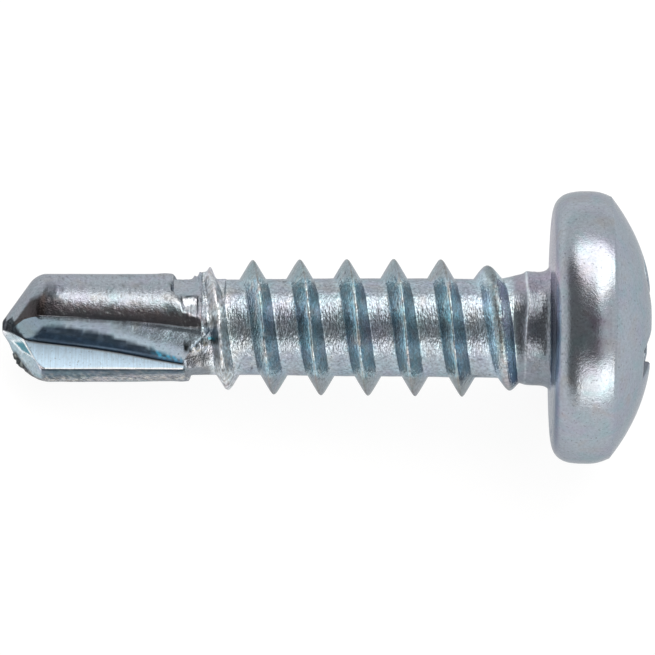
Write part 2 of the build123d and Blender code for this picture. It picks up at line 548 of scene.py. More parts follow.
once_round = column_angle * np.arange(columns)
front_section, _, _ = drill_section(np.full(columns, drill_front_station), once_round)
print("the web is", round(2 * float(np.hypot(*front_section.T).min()), 2), "mm thick at the front")

# %% [markdown]
# ## The point's end
# The end is a blunt cone whose shoulder is rounded on the land and sharp at the lip. Behind each lip a
# relief facet falls away. The dies' flash stays as a ragged burr where they parted. All of it is one
# height over the section, so the last rings of the blank only have to be pulled back to it.

# %% Sizes of the end
cone_start_radius = 0.22
cone_start_station = 18.62
cone_slope = 1.386
tip_dome = 0.004
shoulder_rounding = 0.8
lip_shoulder_rounding = 0.14
shoulder_clocks = (0, 35)
cone_angle = math.degrees(math.atan(cone_slope))
cone_end_station = cone_start_station - (wire_radius - cone_start_radius) / cone_slope
relief_depths = [0.0, 0.06, 0.25, 0.34, 0.27, 0.20, 0.16]
relief_radii = [0.2, 0.4, 0.55, 0.8, 1.34, 1.7, 1.86]
relief_width = 0.75
relief_step, relief_start = (-0.08, -0.02), (0.0, 0.3)
burr_clock, burr_half_angle = -94, 15
burr_middle, burr_half_width = 1.2, 0.42
burr_length = 0.26
lip_y, lip_z = around(wire_radius, lip_clock)
face_normal_y, face_normal_z = around(1.0, face_tilt)
face_distance = lip_y * face_normal_y + lip_z * face_normal_z
print("the cone starts", round(point_station - cone_end_station, 2), "mm behind the point")

# %% The end surface, as a height over the section


def behind_lip(y, z):
    """Distances behind the nearer cutting face and along it, from the flute's side of the axis."""
    along = z * face_normal_y - y * face_normal_z
    side = np.where(along < 0, -1, 1)
    return face_distance - side * (y * face_normal_y + z * face_normal_z), np.abs(along)


def ragged(r, angle):
    """Uneven length of the burr, about 1, from a few waves along the radius and round the clock."""
    return 0.95 + 0.10 * np.sin(21 * r + 3) * np.sin(9 * angle / 57.3) + 0.08 * np.sin(43 * r)


def end_station(y, z):
    """Station of the end surface over a place in the section."""
    r, angle = np.hypot(y, z), np.degrees(np.arctan2(y, z))
    from_sharp = blend(*shoulder_clocks, (lip_clock - angle) % 180)
    rounding = lip_shoulder_rounding + (shoulder_rounding - lip_shoulder_rounding) * from_sharp
    arc_start = cone_end_station - rounding * math.tan(math.radians(cone_angle / 2))
    past_arc = np.clip(r - (wire_radius - rounding), 0, None)
    arc = arc_start + np.sqrt(np.clip(rounding**2 - past_arc**2, 0, None))
    cone = cone_start_station - (r - cone_start_radius) / cone_slope
    tip = cone_start_station + tip_dome * (1 - (r / cone_start_radius) ** 2)
    on_arc = r > wire_radius - rounding * (1 - math.cos(math.radians(cone_angle)))
    s = np.where(r < cone_start_radius, tip, np.where(on_arc, arc, cone))
    behind, along = behind_lip(y, z)
    left = np.where(behind < 0, blend(*relief_step, behind), 1 - blend(0, relief_width, behind))
    s = s - np.interp(r, relief_radii, relief_depths) * left * blend(*relief_start, along)
    burr = bell(angle_from(angle, burr_clock), 0, burr_half_angle) * bell(r, burr_middle, burr_half_width)
    return s + burr_length * burr * ragged(r, angle)


print("the point is at station", round(float(end_station(0.0, 0.0)), 2))

# %% Pinch the point
body_lead, edge_guess, edge_passes, cap_crowding = 1.3, 0.2, 12, 1.35
body_start = fine_start_station - body_lead
drill = (station >= body_start) & (height < 0)
in_cap = drill & (station > drill_front_station + a_hair)
in_body = drill & ~in_cap
front_edge = np.full(len(height), drill_front_station + edge_guess)
for _ in range(edge_passes):
    section, _, _ = drill_section(front_edge, clock)
    front_edge = (front_edge + end_station(section[:, 0], section[:, 1])) / 2
edge_section, _, _ = drill_section(front_edge, clock)
stretched = (front_edge - body_start) / (drill_front_station - body_start)
body_station = body_start + (station - body_start) * stretched
body_section, on_face, on_wall = drill_section(body_station, clock)
cap_share = 1 - np.clip(1 - radius / wire_radius, 0, None) ** cap_crowding
cap_y, cap_z = edge_section[:, 0] * cap_share, edge_section[:, 1] * cap_share
place[in_cap, 0] = -end_station(cap_y, cap_z)[in_cap]
place[in_cap, 1], place[in_cap, 2] = cap_y[in_cap], cap_z[in_cap]
print("the end took", int(in_cap.sum()), "vertices and the drill body", int(in_body.sum()))

# %% [markdown]
# ## The pinched neck
# Behind the drill body the pinching dies leave flat facets, folds and lumps, and the first, half-filled
# turn of the thread runs over them. Sculpting by hand would do for one screw, but a short list of
# facets and lumps can be read, checked and changed.

# %% Facets, folds and lumps
neck_facets = [
    # clock, distance of the flat from the axis
    (62, 1.444), (30, 1.475), (10, 1.53), (-25, 1.47), (-95, 1.585), (-130, 1.56), (-165, 1.50),
    (160, 1.60), (118, 1.59),
]
facet_half_angle, facet_edge = 55, 0.012
facets_end, facets_end_drift, facets_end_clocks = (11.42, 11.12), 0.3, (0, 60)
fold_clocks = [2, 10, 29, 48, 70, 90, 110]
fold_stations = [11.64, 11.62, 11.72, 11.78, 11.84, 11.91, 11.95]
fold_heights = [0.03, 0.07, 0.09, 0.11, 0.14, 0.14, 0.03]
fold_half_length = 0.05
lumps = [
    # station, clock, half length, half width, height
    (11.84, 94, 0.13, 0.35, 0.20), (11.53, 94, 0.10, 0.35, 0.14), (12.08, 94, 0.07, 0.3, 0.11),
    (12.30, -19, 0.08, 0.10, -0.10), (11.45, -14, 0.10, 0.05, -0.06),
    (12.08, -18, 0.05, 0.05, 0.15), (11.95, -25, 0.05, 0.06, 0.16), (11.80, -18, 0.05, 0.05, 0.14),
    (11.66, -24, 0.04, 0.06, 0.10), (11.90, -14, 0.08, 0.03, 0.08), (12.14, -28, 0.04, 0.05, 0.10),
    (12.02, -52, 0.34, 0.30, 0.07), (11.60, -46, 0.18, 0.34, 0.06),
    (12.34, -86, 0.12, 0.30, 0.15), (12.30, -62, 0.10, 0.30, 0.06),
    (11.99, 32, 0.025, 0.42, -0.05), (12.45, 45, 0.10, 0.05, -0.05),
    (11.9, 170, 0.12, 0.4, 0.18), (12.1, -150, 0.2, 0.3, 0.10), (11.7, 130, 0.1, 0.3, 0.12),
]


def pinched_radius(s, angle):
    """Radius of the neck between the drill body and the first full turn."""
    r = core_radius + 0 * s
    for facet_clock, distance in neck_facets:
        off = angle_from(angle, facet_clock)
        plane = distance / np.cos(np.radians(np.clip(off, -facet_half_angle, facet_half_angle)))
        r = np.where(np.abs(off) < facet_half_angle, smaller(r, plane, facet_edge), r)
    r = r + (core_radius - r) * blend(*facets_end, s + facets_end_drift * blend(*facets_end_clocks, angle))
    fold = np.interp(angle, fold_clocks, fold_stations)
    folded = np.interp(angle, fold_clocks, fold_heights, 0, 0)
    r = r + folded * np.exp(-np.abs(s - fold) / fold_half_length)
    for lump_station, lump_clock, length, width, rise in lumps:
        across = np.radians(angle_from(angle, lump_clock)) * core_radius
        r = r + rise * bell(s, lump_station, length) * bell(across, 0, width)
    return r


print("the neck has", len(neck_facets), "facets and", len(lumps), "lumps and dents")

# %% [markdown]
# ## Chips and folds
# The rolling dies leave small folds and nicks beside the ridge. A bump texture would scatter them evenly,
# but real ones are few and each has its place. So each one is a short dent, listed one by one, and it
# holds a dark line of painted shade.

# %% Places of the chips
chips = [
    # station, clock, half length, half width, lean along the axis for each millimetre round it
    (8.43, 10.5, 0.035, 0.26, -0.42), (8.50, -69, 0.12, 0.03, 0.0), (7.20, 76, 0.05, 0.04, 0.0),
    (3.40, -46, 0.025, 0.25, -0.55), (3.18, -70, 0.03, 0.16, -0.3), (2.40, -40, 0.10, 0.02, 0.4),
    (2.20, -44, 0.05, 0.02, -0.5), (2.58, -76, 0.16, 0.025, 0.0), (5.08, -72, 0.12, 0.02, 0.0),
    (10.55, -55, 0.02, 0.20, -0.3), (12.68, 43, 0.035, 0.22, 0.76), (6.96, 62, 0.03, 0.03, 0.0),
    (2.05, -70, 0.03, 0.05, -0.5), (0.86, -68, 0.03, 0.03, 0.0), (10.13, -60, 0.03, 0.12, -0.2),
    (9.02, 70, 0.06, 0.03, 0.0),
]
chip_depth = 0.03


def chipped(s, angle):
    """Share of a chip's depth at each place."""
    share = 0 * s
    for chip_station, chip_clock, length, width, lean in chips:
        across = np.radians(angle_from(angle, chip_clock)) * core_radius
        share = np.maximum(share, bell(s - lean * across, chip_station, length) * bell(across, 0, width))
    return share


print("there are", len(chips), "chips,", chip_depth, "mm deep")

# %% [markdown]
# ## The shank
# Every place on the shank now has two shapes: the rolled one, with thread, ring mark and neck, and the
# pinched one, with flutes and lands. The vertices move from the first to the second where the drill body
# begins, and the flutes run out there in short slopes.

# %% Where the drill body begins
neck_start_station = 11.0
regroup_stations = (11.5, 12.9)
rear_clocks = [-180, -120, -90, -60, -45, -30, -20, -8, 0, 13, 19, 33, 48, 60, 90, 130, 180]
rear_stations = [12.5, 12.4, 12.22, 12.38, 12.42, 12.2, 11.9, 11.5, 11.5, 11.75, 12.40, 12.50,
                 12.86, 12.80, 12.82, 12.6, 12.5]
step_length, face_slope_length = 0.06, 0.10
wall_slope_length, wall_slope_clock, wall_slope_half_angle = 0.5, -2, 14
rear_swell, rear_swell_lead, rear_swell_length = 0.012, 0.28, 0.2

# at: the station of each vertex now that the drill body has been stretched
at = np.where(in_body, body_station, station)
shank = (station >= 0) & (radius > wire_radius - a_hair) & (station < drill_front_station + a_hair)
section_clock = np.degrees(np.arctan2(body_section[:, 0], body_section[:, 1]))
rear = np.interp(angle_from(section_clock, 0), rear_clocks, rear_stations)
on_slope = bell(angle_from(section_clock, wall_slope_clock), 0, wall_slope_half_angle) * ~on_face
run_out_length = step_length + face_slope_length * on_face + wall_slope_length * on_slope
pinched = blend(rear - run_out_length / 2, rear + run_out_length / 2, at)
print("the drill body begins between stations", rear.min().round(2), "and", rear.max().round(2))

# %% Shape the shank
mixed_clock = clock + blend(*regroup_stations, station) * angle_from(section_clock, clock)
bare = np.where(at > neck_start_station, pinched_radius(at, mixed_clock), shank_radius(at))
lift, off_crest, filled, crest = ridge_height(at, place[:, 1], mixed_clock)
ring_share, off_ring = ring_mark(at, mixed_clock)
chip_share = chipped(at, mixed_clock)
rolled = bare + lift + ring_mark_height * ring_share - chip_depth * chip_share
rolled_y, rolled_z = around(rolled, mixed_clock)
swell = 1 + rear_swell * bell(at, rear + rear_swell_lead, rear_swell_length) * (~on_wall & ~on_face)
shaped_y = rolled_y + pinched * (body_section[:, 0] * swell - rolled_y)
shaped_z = rolled_z + pinched * (body_section[:, 1] * swell - rolled_z)
bent = np.interp(at, bend_stations, bend_shifts)
place[shank, 0] = -at[shank]
place[shank, 1], place[shank, 2] = shaped_y[shank] + bent[shank], shaped_z[shank]
print("the shank took", int(shank.sum()), "vertices")

# %% The bearing face, and the head's slight skew
head_skew = 0.008
in_bearing = (height == 0) & (radius > wire_radius - a_hair)
flat_share = (radius[in_bearing] - wire_radius) / (bearing_flat_radius - wire_radius)
flare_radius = shank_radius(0.0)
flat_radius = flare_radius + flat_share * (bearing_flat_radius - flare_radius)
place[in_bearing, 1], place[in_bearing, 2] = around(flat_radius, clock[in_bearing])
place[in_bearing, 1] += bend_shifts[0] * (1 - flat_share)
place[in_bearing, 0] = flat_share * (face_cone + head_skew * place[in_bearing, 1])
place[on_head, 0] += head_skew * place[on_head, 1]
print("the bearing face is", round(2 * bearing_flat_radius, 2), "mm across")

# %% [markdown]
# ## Unevenness
# No forged surface is true. Slow waves of a few thousandths of a millimetre break up the reflections as
# they do on the real screw. They are too long for a bump in the material, so they are shape too. The
# head gives up a little width for them, and so stays within its size.

# %% Slow waves over the skin
long_wave, long_wave_height = 0.9, 0.010
short_wave, short_wave_height = 0.35, 0.006
head_inset = 0.009
end_calm, rest_calm = 0.3, 0.8
least_reach = 1e-6


def grain(points, size, seed):
    """Soft noise between about -1 and 1 whose lumps are a given number of millimetres wide."""
    shift = Vector((seed, 0, 0))
    return np.array([noise.noise(Vector(p) / size + shift) for p in points])


directions = place.copy()
directions[:, 0] = 0
reach_now = np.maximum(np.linalg.norm(directions, axis=1), least_reach)[:, None]
waves = long_wave_height * grain(place, long_wave, 3.1) + short_wave_height * grain(place, short_wave, 7.7)
rise = waves * np.where(in_cap, end_calm, rest_calm) - head_inset * (in_side | in_corner)
place += directions / reach_now * rise[:, None]
print("the waves rise and fall by up to", round(float(np.abs(waves).max()), 4), "mm")

# %% [markdown]
# ## The film on the zinc
# The passivate leaves a thin film whose colour depends on how long the bath stayed in each place. It
# could be painted on an image, but then it would need an unwrapped skin. Here each coat is a colour laid
# on the vertices by a share that follows from the shape: teal on the thread's flanks, worn along the
# crests, a painted dark reflection in the flute's bottom and lilac with painted shade under the head.
# Some coats are painted highlights or painted shade, not film. Later coats cover earlier ones.

# %% Helpers for the coats


def colour(hex_code):
    """A hex colour, as a screen shows it, turned linear for the shader."""
    channels = [int(hex_code[i:i + 2], 16) / 255 for i in (0, 2, 4)]
    linear = [c / 12.92 if c <= 0.04045 else ((c + 0.055) / 1.055) ** 2.4 for c in channels]
    return (*linear, 1.0)


# film holds every vertex colour: the passivate's film and, where marked below, painted light and shade
film = np.tile(colour("A1A9B1")[:3], (len(height), 1))


def lay_coat(hex_code, share):
    """Blends the film towards a colour by each vertex's share, for film and for painted light and shade
    alike.
    """
    film[:] += (np.array(colour(hex_code)[:3]) - film) * np.clip(share, 0, 1)[:, None]


def flecks(clouds, contrast, most=1.0, base=0.0):
    """Share of a cloudy or speckled coat: base where the noise is 0, climbing with it up to the most."""
    return np.clip(contrast * clouds + base, 0, most)


wander = grain(place, 0.35, 11.3)
fleck = grain(place, 0.11, 5.9)
mottling = grain(place, 0.17, 21.7)
y_now, z_now = place[:, 1], place[:, 2]
front = z_now > 0
print("the film starts as one pale grey over", len(film), "vertices")

# %% [markdown]
# ### On the thread
# The flanks face the bath and hold it, so their film is thick, teal and cloudy. The crests rub on the
# other screws in the barrel and end as dull lines. On the first, half-filled turns the film is pale.

# %% The flanks and the crests
threaded = shank & ~in_body
flank_reach, flank_gain = 0.40, 1.3
outline_y = (1.55, 1.75)
crest_line = 0.025
on_flank = threaded * bell(off_crest, 0, flank_reach) * np.clip(flank_gain * filled, 0, 1)
lay_coat("9FA9B3", 0.6 * (threaded | (in_crown & ~in_recess)))
lay_coat("B8D2DA", on_flank)
lay_coat("9AB2BE", on_flank * flecks(wander, 1.5, most=0.8))
lay_coat("C6C4C1", on_flank * flecks(-wander, 1.5, most=0.7))
lay_coat("8FBCCB", on_flank * flecks(mottling, 2.6, most=0.8, base=-0.25))
lay_coat("74868F", on_flank * flecks(-mottling, 2.0, most=0.5, base=-0.4))
lay_coat("96A3A8", on_flank * blend(*outline_y, y_now))
lay_coat("979D9F", on_flank * blend(*outline_y, -y_now))
lay_coat("86847E", threaded * bell(off_crest, 0, crest_line) * filled * flecks(fleck, 0.9, base=0.6))
print("the flanks took", int((on_flank > 0.5).sum()), "vertices")

# %% The first turn, near the drill body
first_turn_crests = (10.45, 10.8)
first_turn = on_flank * blend(*first_turn_crests, crest)
lay_coat("F4F8FA", first_turn)
lay_coat("968C80", first_turn * flecks(fleck, 2.6, most=0.75, base=-0.1))
lay_coat("5C666E", first_turn * flecks(-mottling, 2.6, most=0.7, base=-0.3))
print("the first turn took", int((first_turn > 0.5).sum()), "vertices")

# %% The run-out near the head
run_out_begins, run_out_ends = (1.2, 1.5), (2.3, 2.0)
pale_to_point, pale_to_point_width = (0.16, 0.24), 0.5
pale_to_head, pale_to_head_width = (-0.12, -0.20), 0.6
dull_top_width, dull_top_y = 0.14, (-0.6, 0.8)
run_out = threaded * blend(*run_out_begins, crest) * blend(*run_out_ends, crest)
dull_top = run_out * bell(off_crest, 0, dull_top_width) * flecks(fleck, 0.7, base=0.8)
painted_top_shade = blend(*dull_top_y, y_now)
lay_coat("C0D6E4", run_out * blend(*pale_to_point, off_crest) * bell(off_crest, 0, pale_to_point_width))
lay_coat("D6ECF2", run_out * blend(*pale_to_head, off_crest) * bell(off_crest, 0, pale_to_head_width))
# the blunt top is painted darker on its upper side and lighter on its lower side: painted shade and painted
# light
lay_coat("757C80", dull_top * painted_top_shade)
lay_coat("AFB0AE", dull_top * (1 - painted_top_shade))
print("the run-out's blunt top took", int((dull_top > 0.5).sum()), "vertices")

# %% The neck's cone, the ring mark and the chips
cone_film_stations, cone_lilac_y = (1.35, 1.05), (1.0, 1.4)
painted_ring_highlight_place, painted_ring_highlight_width = 0.03, 0.04
on_cone = threaded * blend(*cone_film_stations, at)
lay_coat("878E96", on_cone)
lay_coat("9F9FAA", on_cone * blend(*cone_lilac_y, y_now))
# a painted highlight along the ring mark
lay_coat("DCE6EC", threaded * bell(off_ring, painted_ring_highlight_place, painted_ring_highlight_width) * ring_share)
# a dark line painted into each chip, as shade in its dent
lay_coat("3C3F42", 0.9 * chip_share)
print("the neck's cone took", int((on_cone > 0.5).sum()), "vertices")

# %% [markdown]
# ### In the flutes
# The flute's bottom carries a painted dark reflection, navy, with a brighter blue end. The wall above it
# is pale, with a painted glint and a painted dark line along the valley. The cutting face is sheared,
# not drawn, and comes out matt and light blue, with a painted highlight at the lip.

# %% How far up the wall the navy reaches
navy_stations = [12.3, 12.75, 13.6, 14.454, 15.135, 15.92, 16.67, 17.55, 18.6]
navy_tops = [-1.2, -1.0, -0.667, -0.42, -0.2, -0.065, 0.05, 0.05, 0.05]
navy_edge, navy_front, navy_front_rounding = 0.06, (17.66, 17.46), 0.4
is_body = pinched > 0.5
in_flute = in_body & on_wall & is_body
upright = np.where(past_first_column(clock) >= 180, -1, 1)
section_y, section_z = y_now * upright, z_now * upright
from_valley = section_y - valley_drop(at)
navy_top = np.interp(at, navy_stations, navy_tops) + 0.03 * wander + 0.05 * fleck
to_valley = np.clip((navy_top - section_y) / (navy_top - valley_drop(at)), 0, 1)
rounded_at = at + navy_front_rounding * (1 - to_valley) ** 2 + 0.1 * fleck
# painted dark reflection in the flute's bottom, tinted navy
painted_navy = in_flute * blend(navy_edge, -navy_edge, section_y - navy_top) * blend(*navy_front, rounded_at)
print("the navy film took", int((painted_navy > 0.5).sum()), "vertices")

# %% Lay the flute's films
pale_behind, paler_behind = (16.8, 16.2), (15.6, 14.2)
blue_behind, blue_below = (13.6, 13.2), (1.0, 0.6)
painted_glint_place, painted_glint_width = 0.09, 0.025
painted_shade_line_place, painted_shade_line_width = 0.01, 0.035
blue_end = blend(*blue_behind, at) * blend(*blue_below, to_valley)
lay_coat("869AA4", in_flute)
lay_coat("9CABB6", in_flute * blend(*pale_behind, at))
lay_coat("A7B7C3", in_flute * blend(*paler_behind, at))
lay_coat("232E38", painted_navy)
lay_coat("46525F", painted_navy * to_valley * flecks(fleck, 0.5, base=0.9))
lay_coat("4C5A68", painted_navy * flecks(mottling, 2.4, most=0.6, base=-0.2))
lay_coat("46A6C6", painted_navy * blue_end * flecks(fleck, 1.4, most=0.9, base=0.5))
# a painted highlight along the wall just above the valley
lay_coat("8C97A4", in_flute * bell(from_valley, painted_glint_place, painted_glint_width))
# a dark line painted along the valley, as shade in the crease
in_groove = in_body & is_body & (on_wall | on_face)
lay_coat("20282F", in_groove * bell(from_valley, painted_shade_line_place, painted_shade_line_width))
print("the flutes took", int(in_flute.sum()), "vertices")

# %% [markdown]
# ### On the lands
# The land is the wire's own surface. A brown band runs along its edge above the flute: a brown tint
# with painted shade where the land reflects the dark opening. Behind the lip it is painted darker, as
# shade, and where the flash was trimmed it is torn into bright and dark flecks.

# %% The brown band with painted shade, and the land behind the lip
land_band_stations, land_band_reaches, land_band_edge = [16.1, 16.9], [15.5, 25], 2.5
painted_shade_edge_width = 0.13
low_edge_stations, low_edges = [12.6, 13.6, 15.1, 16.67, 17.4], [8, 10, 15, 21, 22]
lip_shade_place, lip_shade_width = 1.5, 1.6
on_land = in_body & ~on_wall & ~on_face & is_body
above_wall = (section_clock - wall_top_clock(at)) % 180
past_land_band = above_wall - np.interp(at, land_band_stations, land_band_reaches) + 5 * fleck
brown_tint_and_shade = on_land * blend(land_band_edge, -land_band_edge, past_land_band)
wall_top_y, wall_top_z = around(wire_radius, wall_top_clock(at))
from_wall_top = np.minimum(np.hypot(y_now - wall_top_y, z_now - wall_top_z),
                           np.hypot(y_now + wall_top_y, z_now + wall_top_z))
past_lip = (lip_clock - angle_from(section_clock, 0)) % 180
low_edge = np.interp(at, low_edge_stations, low_edges)
# brown tint with painted shade along the land's edge above the flute
lay_coat("706B6D", 0.9 * brown_tint_and_shade)
# painted shade along the wall's top edge, over the highlight its rounding catches
lay_coat("5A6066", 0.85 * in_body * pinched * bell(from_wall_top, 0, painted_shade_edge_width))
# the land just behind each lip is painted darker, as shade, with a narrow painted shade line right at the lip
lay_coat("64757F", on_land * (1 - blend(low_edge - 2, low_edge + 1, past_lip)))
lay_coat("34424C", on_land * bell(past_lip, lip_shade_place, lip_shade_width))
lay_coat("74787C", on_land * flecks(fleck, 3.0, most=0.75, base=-0.9))
lay_coat("B4B6B8", brown_tint_and_shade * flecks(-fleck, 3.4, most=0.8, base=-1.3))
print("the stain took", int((brown_tint_and_shade > 0.5).sum()), "vertices")

# %% The trimmed flash, the cutting face and the lip
trimmed_half_angle = 14
face_inset, painted_lip_glint = (0.03, 0.08), (0.06, 0.03)
cutting_face = in_body & on_face
trimmed = on_land * bell(angle_from(section_clock, flash_clock), 0, trimmed_half_angle)
from_lip = np.hypot(section_y - lip_y, section_z - lip_z)
lay_coat("DCD8D0", trimmed * flecks(fleck, 3.0, most=0.9, base=0.1))
lay_coat("2E2822", trimmed * flecks(-fleck, 3.0, most=0.95, base=-0.3))
lay_coat("C4DDF0", cutting_face * pinched * blend(*face_inset, np.abs(from_valley)))
# a painted highlight along the lip
lay_coat("FFFFFF", cutting_face * is_body * blend(*painted_lip_glint, from_lip))
print("the cutting faces took", int(cutting_face.sum()), "vertices")

# %% [markdown]
# ### On the point's end
# The cone carries a dark brown band, from the land's shoulder to the chisel tip: a brown tint with
# painted shade over the cone's reflections. The land's shoulder is painted darker too. The relief facet
# is pale with one teal diamond in it, a painted dark reflection, with painted highlights on its edges,
# and the burr is flecked.

# %% The brown band, with painted shade
band_radii, band_tops = [0.6, 0.83, 1.51, 1.75, 1.9], [5, 17.5, 32, 38, 38]
band_edge, band_low_clocks = 3, (-75, -60)
lip_edge, past_chisel_clocks = 0.02, (15, 20)
band_rear, end_shade = (17.0, 17.2), (17.0, 17.6)
shoulder_rear, shoulder_clock, shoulder_half_angle = (16.45, 16.95), 36, 17
tip_clock = np.degrees(np.arctan2(y_now, z_now))
tip_radius = np.hypot(y_now, z_now)
tip_station = -place[:, 0]
cap_behind, cap_along = behind_lip(y_now, z_now)
before_face = blend(lip_edge, -lip_edge, cap_behind)
near_end = in_cap | on_land
band_top = np.interp(tip_radius, band_radii, band_tops)
past_chisel = blend(*past_chisel_clocks, tip_clock)
band = near_end * blend(band_top + band_edge, band_top - band_edge, tip_clock + 5 * wander)
band = band * blend(*band_low_clocks, tip_clock) * np.maximum(before_face, past_chisel)
painted_dark_cone = band * np.where(in_cap, 1, blend(*band_rear, at) * (tip_clock > 0))
# painted shade on the land's shoulder, over the start of its highlight
painted_shoulder_shade = blend(*shoulder_rear, at + 0.4 * fleck)
painted_shoulder_shade = painted_shoulder_shade * bell(section_clock % 180, shoulder_clock, shoulder_half_angle)
lay_coat("8E939B", 0.7 * near_end * blend(*end_shade, tip_station))
lay_coat("2B2E32", 0.95 * on_land * painted_shoulder_shade)
# the brown band: a brown tint with painted shade that darkens the cone's reflections
lay_coat("494544", 0.95 * painted_dark_cone)
lay_coat("2B2827", 0.3 * painted_dark_cone)
print("the brown band took", int((painted_dark_cone > 0.5).sum()), "vertices")

# %% The relief facet
lip_line_stations, lip_line_y = [17.9, 18.2, 18.58], [-0.38, -0.235, -0.105]
relief_begins, relief_ends, chisel_gap = (-0.02, 0.01), (1.1, 0.7), 0.05
diamond_edge, diamond_rim = (0.0, 0.04), (-0.02, 0.035)
above_lip = blend(-lip_edge, lip_edge, y_now - np.interp(tip_station, lip_line_stations, lip_line_y))
near_lip_side = (z_now * face_normal_y - y_now * face_normal_z) > 0
relief = in_cap * blend(*relief_begins, cap_behind) * blend(*relief_ends, cap_behind)
relief = relief * (cap_along > chisel_gap) * near_lip_side * (1 - front * above_lip)
# the diamond, a painted dark reflection tinted teal, lies inside four lines: two along the lip, and two that
# slant from it
painted_dark_diamond = np.minimum.reduce([cap_behind - 0.09, 0.37 - cap_behind, cap_along - 0.717 + 0.41 * cap_behind,
                             1.417 - 1.38 * cap_behind - cap_along])
painted_edge_highlight = np.clip(bell(cap_behind, 0.0, 0.045) + bell(cap_along, 0.15, 0.2), 0, 1)
lay_coat("A9BCC6", relief)
lay_coat("4D8796", 0.9 * relief * blend(*diamond_edge, painted_dark_diamond))
# painted highlights on the diamond's rim and along the facet's edges
lay_coat("F4FBFF", relief * bell(painted_dark_diamond, *diamond_rim))
lay_coat("FFFFFF", relief * painted_edge_highlight)
print("the relief facet took", int((relief > 0.5).sum()), "vertices")

# %% The burr and the painted shade at the tip
burr_radii, burr_film_clock, burr_film_half_angle = (0.75, 0.95), -88, 24
burr_side_begins, burr_side_ends = (-70, -78), (-114, -106)
patch_station, patch_y, patch_slope, patch_soft = 18.18, 0.218, 0.567, 0.03
patch_clock, patch_middle_radius = 30, 0.4
on_rim = blend(*burr_radii, tip_radius)
burred = in_cap * bell(angle_from(tip_clock, burr_film_clock), 0, burr_film_half_angle) * on_rim
burr_side = in_cap * on_rim * blend(*burr_side_begins, tip_clock) * blend(*burr_side_ends, tip_clock)
patch_edge = patch_station - patch_slope * (patch_y - y_now) + 0.05 * wander
# painted shade on the front of the tip, beyond a slanting edge
painted_shade_patch = (in_cap | in_flute) * blend(patch_edge - patch_soft, patch_edge + patch_soft, tip_station)
painted_shade_patch = painted_shade_patch * ((tip_clock < patch_clock) | (tip_radius < patch_middle_radius))
painted_shade_patch = painted_shade_patch * front * np.maximum(before_face, above_lip)
lay_coat("C8C3B8", burred * flecks(fleck, 1.2, most=0.7, base=0.2))
lay_coat("1C1814", burr_side * flecks(-fleck, 0.8, most=0.97, base=0.95))
lay_coat("24272C", painted_shade_patch * flecks(fleck, 0.5, base=0.95))
print("the burr took", int((burred > 0.5).sum()), "vertices")

# %% [markdown]
# ### On the pinched neck
# Dark patches lie on the neck's folds and facets, beside one lump with a painted highlight, and a
# painted shadow runs along the step to the drill body. Each is a small soft-edged patch.

# %% Patches


def patch(station_0, station_1, y_0, y_1, soft=0.04):
    """A soft-edged patch on the front between two stations and two places across the axis."""
    lengthways = blend(station_0 - soft, station_0 + soft, at) * blend(station_1 + soft, station_1 - soft, at)
    return front * lengthways * blend(y_0 - soft, y_0 + soft, y_now) * blend(y_1 + soft, y_1 - soft, y_now)


lump_stations, lump_y = (11.98, 12.48), (0.46, 1.02)
lump_edge, lump_rim = (-0.03, 0.01), (-0.02, 0.04)
step_middle, step_half_width = 0.6, 0.5
on_neck = shank * (pinched < 0.98)
lay_coat("93A0AA", on_neck * patch(11.25, 12.7, -0.40, 0.0))
lay_coat("4A4348", on_neck * patch(11.62, 12.7, 0.04, 0.36) * 0.8)
lump_gap = np.minimum.reduce([at - lump_stations[0], lump_stations[1] - at,
                              y_now - lump_y[0], lump_y[1] - y_now])
# a painted highlight on one lump, with a painted dark rim round it
painted_highlight_lump = on_neck * front * blend(*lump_edge, lump_gap)
lay_coat("D6DADE", painted_highlight_lump)
lay_coat("80868C", painted_highlight_lump * flecks(fleck, 3.0, most=0.9, base=-0.5))
lay_coat("3C4146", on_neck * front * bell(lump_gap, *lump_rim))
lay_coat("4A5258", on_neck * patch(11.2, 11.85, -0.58, -0.36) * 0.7)
lay_coat("55AABB", on_neck * patch(11.36, 11.6, -0.41, -0.34, soft=0.02))
lay_coat("25292C", shank * patch(12.17, 12.42, -0.86, -0.50) * flecks(fleck, 1.0, base=0.9))
# a painted shadow along the step between the neck and the drill body
painted_step_shadow = bell(pinched, step_middle, step_half_width)
lay_coat("2A2E31", shank * patch(11.50, 12.30, -0.62, -0.20) * painted_step_shadow * flecks(fleck, 1.0, base=0.8))
lay_coat("858A90", on_neck * patch(11.55, 12.4, -1.7, -0.88, soft=0.08) * 0.8)
lay_coat("8D8B7E", on_neck * patch(11.6, 12.15, -0.86, -0.44) * flecks(fleck, 1.5, most=0.8))
print("the shiny lump took", int((painted_highlight_lump > 0.5).sum()), "vertices")

# %% [markdown]
# ### On the head
# The head's side has one lilac cloud, painted shade over its dark reflection. Its underside is lilac
# with painted shade, darker and bluer towards one side, and painted lighter near the shank. The recess
# is painted darker than the crown, as shade.

# %% The head
cloud_height, cloud_half_height, cloud_y, cloud_half_width = 1.38, 0.42, -0.1, 1.0
under_height, near_shank_y = (0.26, 0.03), (2.3, 1.6)
painted_shade_cloud = bell(place[:, 0], cloud_height, cloud_half_height) * bell(y_now, cloud_y, cloud_half_width)
painted_shade_cloud = painted_shade_cloud * (in_side | in_corner) * front
lilac_and_shade_under = in_bearing + in_corner * blend(*under_height, place[:, 0])
by_shank = lilac_and_shade_under * blend(*near_shank_y, np.abs(y_now))
# the recess is painted darker than the crown, as shade
lay_coat("5E666E", 0.8 * in_recess)
# a lilac cloud of painted shade over the dark reflection on the head's side
lay_coat("8F8896", painted_shade_cloud * np.clip(0.6 + 1.6 * wander + 0.8 * fleck, 0, 1))
